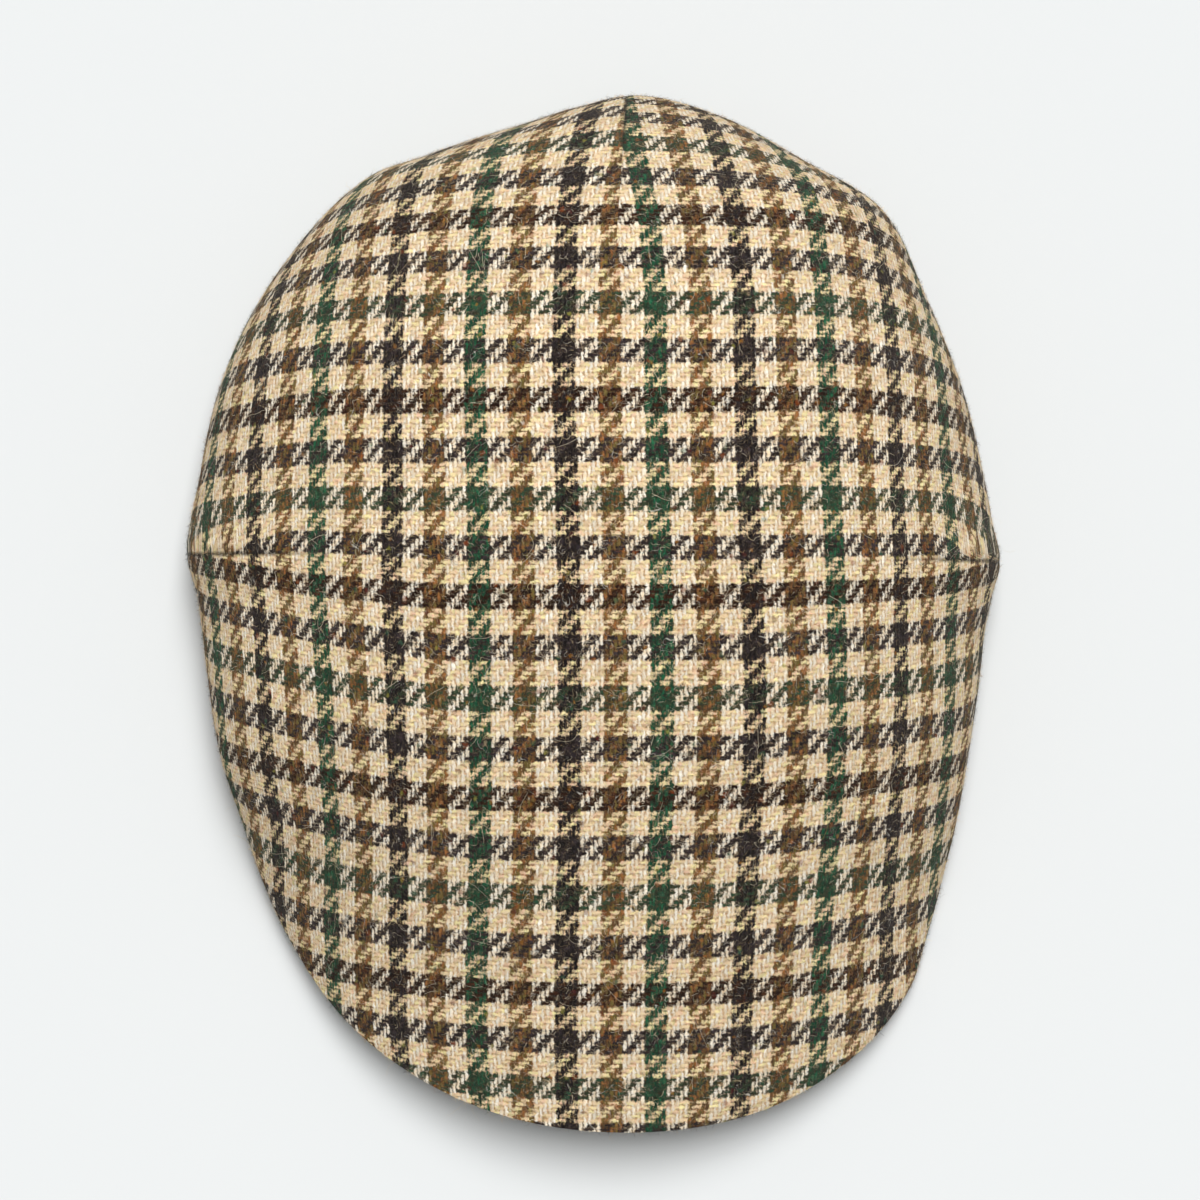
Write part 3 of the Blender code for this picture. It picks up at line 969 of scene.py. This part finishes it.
def cloth_spots(cloth, count, random):
    """Random places all over the outer cloth, with the way the cloth faces and its map there."""
    mesh = cloth.data
    centres, normals = read(mesh.polygons, "center", 3) / MM, read(mesh.polygons, "normal", 3)
    looks_out = np.einsum("ij,ij->i", normals, centres - WOOL_INSIDE) > 0
    whole = read(mesh.polygons, "loop_total", kind=np.int32) == 4
    weights = read(mesh.polygons, "area").astype(float) * looks_out * whole * (centres[:, 2] > WOOL_LOWEST)
    chosen = random.choice(len(weights), size=count, p=weights / weights.sum())
    corners = read(mesh.polygons, "loop_start", kind=np.int32)[chosen, None] + np.arange(4)
    vertices = read(mesh.loops, "vertex_index", kind=np.int32)[corners]
    across, along = random.random((2, count))
    left, below = 1 - across, 1 - along
    shares = np.stack((left * below, across * below, across * along, left * along), axis=1)
    places = np.einsum("ij,ijk->ik", shares, read(mesh.vertices, "co", 3)[vertices]) / MM
    maps = np.einsum("ij,ijk->ik", shares, read(mesh.uv_layers["threads"].uv, "vector", 2)[corners])
    return places, normals[chosen], maps


def build_wool(name, cloth, count, steps, length, width, rise, curl, seed):
    """Fibres raised from the outer cloth: each one a narrow ribbon of a few faces that bends as it goes."""
    random = np.random.default_rng(seed)
    place, normal, maps = cloth_spots(cloth, count, random)

    def across(vectors):
        """Random directions in the cloth's plane."""
        flat = random.normal(size=(count, 3))
        flat -= vectors * np.einsum("ij,ij->i", flat, vectors)[:, None]
        return flat / np.linalg.norm(flat, axis=1)[:, None]

    lengths = random.uniform(*length, count)[:, None]
    rises = random.uniform(*rise, count)[:, None]
    way = across(normal) * np.sqrt(1.0 - rises**2) + normal * rises
    turn_axis = mix(normal, across(normal), random.uniform(0.0, WOOL_TURNS_UP, count)[:, None])
    turns = random.normal(0.0, curl, count)[:, None]
    place = place + normal * WOOL_ROOT
    ribbon = []
    for step in range(steps + 1):
        side = np.cross(way, normal)
        half = width / 2 * (1.0 - WOOL_TAPER * step / steps)
        side *= half / np.maximum(np.linalg.norm(side, axis=1), 1e-6)[:, None]
        ribbon += [place - side, place + side]
        place = place + way * lengths / steps
        place[:, 2] = np.maximum(place[:, 2], WOOL_CLEARS_FLOOR)
        wobble = random.normal(0.0, WOOL_WOBBLE * curl, count)[:, None]
        way = way + np.cross(turn_axis, way) * (turns + wobble) / steps
        way /= np.linalg.norm(way, axis=1)[:, None]
    corners = np.stack(ribbon, axis=1).reshape(-1, 3) * MM
    first = np.arange(count)[:, None, None] * len(ribbon) + 2 * np.arange(steps)[None, :, None]
    quads = (first + np.array([0, 1, 3, 2])[None, None, :]).reshape(-1, 4)
    mesh = bpy.data.meshes.new(name)
    mesh.from_pydata(corners.tolist(), [], quads.tolist())
    layer = mesh.uv_layers.new(name="threads")
    layer.uv.foreach_set("vector", np.repeat(maps, 4 * steps, axis=0).astype(np.float32).ravel())
    tint = mesh.attributes.new("tint", "FLOAT", "POINT")
    tint.data.foreach_set("value", np.repeat(random.random(count), len(ribbon)).astype(np.float32))
    return add_piece(name, mesh)


# ---------------- materials


def linear(hex_colour):
    """An sRGB hex colour as the linear values that a shader takes."""
    parts = [int(hex_colour[start : start + 2], 16) / 255 for start in (0, 2, 4)]
    return (*(p / 12.92 if p <= 0.04045 else ((p + 0.055) / 1.055) ** 2.4 for p in parts), 1.0)


def node(tree, kind, inputs=(), **settings):
    """Adds a node, sets it up and joins or fills its inputs. A node given as an input is its first output."""
    kind, _, operation = kind.partition(" ")
    made = tree.nodes.new("ShaderNode" + kind)
    if operation:
        made.operation = operation
    for name, value in settings.items():
        setattr(made, name, value)
    if not isinstance(inputs, dict):
        inputs = dict(enumerate(inputs))
    open_inputs = [socket for socket in made.inputs if socket.enabled]
    for name, value in inputs.items():
        socket = made.inputs[name] if isinstance(name, str) else open_inputs[name]
        if isinstance(value, bpy.types.Node):
            value = next(output for output in value.outputs if output.enabled)
        if isinstance(value, bpy.types.NodeSocket):
            tree.links.new(value, socket)
        else:
            socket.default_value = value
    return made


def sett_ramp(add, place, sett, value):
    """One value of each yarn in the sett: five light threads, then five of the next dark yarn, four times."""
    ramp = add("ValToRGB", (place,))
    ramp.color_ramp.interpolation = "CONSTANT"
    for index, yarn in enumerate(sett):
        start = index / len(sett)
        stop = ramp.color_ramp.elements[0] if index == 0 else ramp.color_ramp.elements.new(start)
        stop.position = start
        stop.color = value(yarn)
    ramp.color_ramp.elements.remove(ramp.color_ramp.elements[-1])
    return ramp


def yarn_set(add, across, along, patches, crossing, roundness, sett, seed):
    """All warp or all weft threads: how high they lie, and their colour."""
    index = add("Math FLOOR", (across,))
    aside = add("Math SUBTRACT", (add("Math FRACT", (across,)), 0.5))
    aside = add("Math MULTIPLY", (add("Math ABSOLUTE", (aside,)), 2.0))
    edge = add("Math POWER", (aside, THREAD_EDGE_POWER))
    phase = add("Math ADD", (add("Math SUBTRACT", (along, index)), crossing))
    wave = add("Math MULTIPLY", (phase, math.pi / 2))
    wave = add("Math COSINE", (wave,))
    height = add("Math MULTIPLY_ADD", (edge, -roundness, wave))

    # Slubs: the yarn is thicker in one place than in another
    slub_place = add("CombineXYZ", (index, add("Math MULTIPLY", (along, SLUB_PITCH)), seed))
    slub = add("TexNoise", {"Vector": slub_place, "Scale": 1.0, "Detail": 1.0})
    height = add("Math MULTIPLY_ADD", (slub, SLUB, height))

    # Where in the sett the thread is, and how full its yarn
    place = add("Math DIVIDE", (add("Math ADD", (index, 0.5)), SETT_REPEATS * REPEAT))
    place = add("Math FRACT", (place,))
    fuller = sett_ramp(add, place, sett, lambda yarn: (*(YARNS[yarn][3],) * 3, 1.0))
    height = add("Math MULTIPLY_ADD", (fuller, FULLEST, height))

    # The wools in a yarn lie in streaks along it
    streak_across, streak_along = (
        add("Math MULTIPLY", (way, scale)) for way, scale in zip((across, along), STREAKS)
    )
    apart = add("Math MULTIPLY_ADD", (index, STREAK_STEP, seed))
    streak = add("CombineXYZ", (streak_across, streak_along, apart))
    streak = add("TexNoise", {"Vector": streak, "Scale": 1.0, "Detail": 3.0, "Roughness": 0.65})
    fibres = add("SeparateColor", {"Color": streak.outputs["Color"]}).outputs["Blue"]
    parts = add("Mix", (PATCH_SHARE, streak.outputs["Color"], patches), data_type="RGBA")
    parts = add("SeparateColor", (parts,))
    colour = sett_ramp(add, place, sett, lambda yarn: linear(YARNS[yarn][0]))
    for strand, part in ((1, parts.outputs["Red"]), (2, parts.outputs["Green"])):
        share = add("MapRange", (part, *SPUN_IN))
        spun_in = sett_ramp(add, place, sett, lambda yarn: linear(YARNS[yarn][strand]))
        colour = add("Mix", (share, colour, spun_in), data_type="RGBA")

    # Each thread took the dye a little differently
    tone = add("TexWhiteNoise", {"W": add("Math ADD", (index, seed))}, noise_dimensions="1D")
    tone = add("MapRange", (tone, 0.0, 1.0, 1.0 - THREAD_TONE, 1.0 + THREAD_TONE))
    fibres = add("MapRange", (fibres, *FIBRE_NOISE, 1.0 - FIBRE_TONE, 1.0 + FIBRE_TONE))
    tone = add("Math MULTIPLY", (tone, fibres))
    colour = add("VectorMath SCALE", {0: colour, "Scale": tone})
    return height, colour


def loose_fibres(add, cloth, colour):
    """Single fibres that curl over the face of the cloth, drawn as the level lines of a smooth noise.

    A real fibre is 0.03 mm thick, too fine to show from here, so it is drawn about five times as wide.
    """
    for seed, (wool, scale, line, gather, strength) in enumerate(LOOSE_FIBRES):
        place = add("VectorMath ADD", (cloth, (*(step * seed for step in FIBRE_STEP), 0.0)))
        curl = {"Vector": place, "Scale": scale, "Detail": 1.0, "Distortion": 0.6}
        curl = add("TexNoise", curl, noise_dimensions="2D")
        away = add("Math ABSOLUTE", (add("Math ADD", (curl, -0.5)),))
        drawn = add("MapRange", (away, 0.0, line, strength, 0.0))
        broken = {"Vector": place, "Scale": scale * FIBRE_BREAKS, "Detail": 2.0}
        broken = add("TexNoise", broken, noise_dimensions="2D")
        broken = add("MapRange", (broken, gather, gather + FIBRE_FADES, 0.0, 1.0))
        drawn = add("Math MULTIPLY", (drawn, broken))
        colour = add("Mix", (drawn, colour, linear(wool)), data_type="RGBA")
    return colour


def neps(add, cloth, colour):
    """Small knots of brightly dyed wool that were carded into the yarns."""
    for seed, (wool, scale, size, strength) in enumerate(NEPS):
        place = add("VectorMath ADD", (cloth, (*(step * seed for step in NEP_STEP), 0.0)))
        spots = {"Vector": place, "Scale": scale, "Randomness": 1.0}
        spots = add("TexVoronoi", spots, voronoi_dimensions="2D")
        spot = add("MapRange", (spots.outputs["Distance"], size * NEP_CORE, size, strength, 0.0))
        colour = add("Mix", (spot, colour, linear(wool)), data_type="RGBA")
    return colour


def new_material(name, finish):
    """A material with its finish: itself, its surface and the function that adds nodes to it."""
    material = bpy.data.materials.new(name)
    material.use_nodes = True
    surface = material.node_tree.nodes["Principled BSDF"]
    for socket, value in finish.items():
        surface.inputs[socket].default_value = value
    return material, surface, functools.partial(node, material.node_tree)


def weave(add, cloth):
    """The weave at a place of the cloth map: its colour with painted shade between the threads, how high
    threads lie and where wool is raised.
    """
    # Felting pushes the threads about, a little over a few threads and more finely along their edges
    place = cloth
    for scale, push in THREAD_WANDER:
        wander = add("TexNoise", {"Vector": cloth, "Scale": scale, "Detail": 2.0}, noise_dimensions="2D")
        wander = add("VectorMath SUBTRACT", (wander.outputs["Color"], (0.5, 0.5, 0.5)))
        place = add("VectorMath MULTIPLY_ADD", (wander, (push, push, 0.0), place))
    spun = add("SeparateXYZ", (place,))
    across, along = spun.outputs["X"], spun.outputs["Y"]
    patches = add("TexNoise", {"Vector": cloth, "Scale": PATCH_SCALE, "Detail": 2.0}, noise_dimensions="2D")
    patches = patches.outputs["Color"]

    warp_height, warp = yarn_set(add, across, along, patches, **WARP)
    weft_height, weft = yarn_set(add, along, across, patches, **WEFT)
    over = add("Math SUBTRACT", (warp_height, weft_height))
    raised = add("TexNoise", {"Vector": cloth, "Scale": FELT_SCALE, "Detail": 3.0}, noise_dimensions="2D")
    over = add("Math MULTIPLY_ADD", (add("Math ADD", (raised, -0.5)), FELTING, over))
    over = add("MapRange", (over, -FELT_BLEND, FELT_BLEND, 0.0, 1.0))
    colour = add("Mix", (over, weft, warp), data_type="RGBA")
    height = add("Math MAXIMUM", (warp_height, weft_height))

    # Painted shade: between the threads the colour is darkened and warmed, as light reaches down there only
    # after it has bounced off the wool
    gap_shade = add("MapRange", (height, *GAP_SHADE_HEIGHTS, 0.0, 1.0))
    gap_shade = add("Mix", (gap_shade, linear(GAP_SHADE_TINT), linear("FFFFFF")), data_type="RGBA")
    colour = add("VectorMath MULTIPLY", (colour, gap_shade))
    return neps(add, place, colour), height, raised


def tweed_material(name):
    """Brushed woollen tweed, a 2/2 twill in a gun-club check.

    Each yarn is spun from wools dyed before spinning, so from near it is never one flat colour. Brushing has
    raised short fibres, which blur the edges of the threads and catch the light at grazing angles.
    """
    material, surface, add = new_material(name, TWEED_FINISH)
    surface.inputs["Sheen Tint"].default_value = linear(SHEEN_COLOUR)
    cloth = add("UVMap", uv_map="threads").outputs["UV"]
    colour, height, raised = weave(add, cloth)
    colour = loose_fibres(add, cloth, colour)

    # Painted shade: down in a dart's seam the colour is darkened
    seam_shade = add("Attribute", attribute_name="seam_shade").outputs["Fac"]
    seam_shade = add("MapRange", (seam_shade, *SEAM_SHADE_RANGE))
    colour = add("Mix", (seam_shade, colour, linear(SEAM_SHADE_COLOUR)), data_type="RGBA")

    material.node_tree.links.new(colour.outputs[2], surface.inputs["Base Color"])
    fuzz = add("Math MULTIPLY_ADD", (raised, FUZZ_RELIEF, height))
    bump = add("Bump", {"Strength": 1.0, "Distance": THREAD_RELIEF * MM, "Height": fuzz})
    material.node_tree.links.new(bump.outputs[0], surface.inputs["Normal"])
    return material


def raised_wool_material(name, undyed):
    """Wool that brushing has raised. Each fibre has the colour of its yarn, or is undyed and pale."""
    material, surface, add = new_material(name, RAISED_WOOL_FINISH)
    colour, _, _ = weave(add, add("UVMap", uv_map="threads").outputs["UV"])
    tint = add("Attribute", attribute_name="tint").outputs["Fac"]
    tone = add("MapRange", (tint, 0.0, 1.0, *WOOL_TONES))
    colour = add("VectorMath SCALE", {0: colour, "Scale": tone})
    pale = add("Math GREATER_THAN", (tint, 1.0 - undyed))
    colour = add("Mix", (pale, colour, linear(UNDYED)), data_type="RGBA")
    material.node_tree.links.new(colour.outputs[2], surface.inputs["Base Color"])
    return material


def thread_material():
    """Three-ply sewing thread of combed wool, smoother than the tweed, so that it shines a little."""
    material, surface, _ = new_material("sewing thread", THREAD_FINISH)
    surface.inputs["Base Color"].default_value = linear(THREAD_COLOUR)
    return material


def place_object(name, data):
    """Every object starts at the origin, unturned."""
    placed = bpy.data.objects.new(name, data)
    bpy.context.scene.collection.objects.link(placed)
    return placed


def add_piece(name, mesh):
    """A piece has its place in its mesh, and rides with the cap."""
    mesh.shade_smooth()
    piece = place_object(name, mesh)
    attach(piece, "root")
    return piece


# ---------------- light and camera


def add_world():
    """An even, slightly cool room light."""
    world = bpy.data.worlds.new("room")
    world.use_nodes = True
    background = world.node_tree.nodes["Background"]
    background.inputs["Color"].default_value = linear(ROOM_COLOUR)
    background.inputs["Strength"].default_value = ROOM_LIGHT
    bpy.context.scene.world = world


def add_lamps():
    """A strip of soft lamps that runs from over the cap down behind its back."""
    for towards_left, towards_back, strength in LAMPS:
        light = bpy.data.lights.new("strip lamp", "SUN")
        light.energy = strength
        light.angle = math.radians(LAMP_SPREAD)
        towards = Vector((towards_left, towards_back, 1.0))
        place_object("strip lamp", light).rotation_euler = towards.to_track_quat("Z", "Y").to_euler()


def add_table():
    """The pale surface that the cap lies on."""
    plane = bmesh.new()
    bmesh.ops.create_grid(plane, x_segments=1, y_segments=1, size=TABLE_HALF_WIDTH * MM)
    mesh = finished(plane, "table_top")
    material, surface, _ = new_material("matt white table", TABLE_FINISH)
    surface.inputs["Base Color"].default_value = linear(TABLE_COLOUR)
    mesh.materials.append(material)
    place_object("table_top", mesh)


def add_camera():
    """Straight above the cap, and so far up that its sides hardly show."""
    camera = place_object("camera", bpy.data.cameras.new("camera"))
    sight = point(0.0, 0.0, 0.0) + (SIGHT_X, SIGHT_Y - CENTRE_Y, CAMERA_HEIGHT) - MIDDLE
    camera.location = sight * MM
    camera.data.sensor_width = 36.0
    camera.data.lens = camera.data.sensor_width * (CAMERA_HEIGHT - SIDE_BULGE_HEIGHT) / VIEW_WIDTH
    bpy.context.scene.camera = camera
    bpy.context.scene.view_settings.view_transform = "Standard"


# ---------------- the whole scene


def outline_middle():
    """The middle of the cap seen from above, which is the origin."""
    edge = dome(sector_angles(), 90.0, 0.0)
    middle = (edge.min(axis=0) + edge.max(axis=0)) / 2
    return middle * (1.0, 1.0, 0.0)


MIDDLE = outline_middle()

crown = build_crown()
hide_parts("crown")

peak = build_peak()
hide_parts("peak")

build_stitches()
nap_material = raised_wool_material("raised wool", NAP_UNDYED)
for number in range(NAP_PIECES):
    nap = build_wool(f"nap_{number + 1}", crown, seed=number, **NAP)
    nap.data.materials.append(nap_material)
strays = build_wool("stray_fibres", crown, seed=NAP_PIECES, **STRAYS)
strays.data.materials.append(raised_wool_material("stray wool", STRAYS_UNDYED))

add_world()
add_lamps()
add_table()
add_camera()
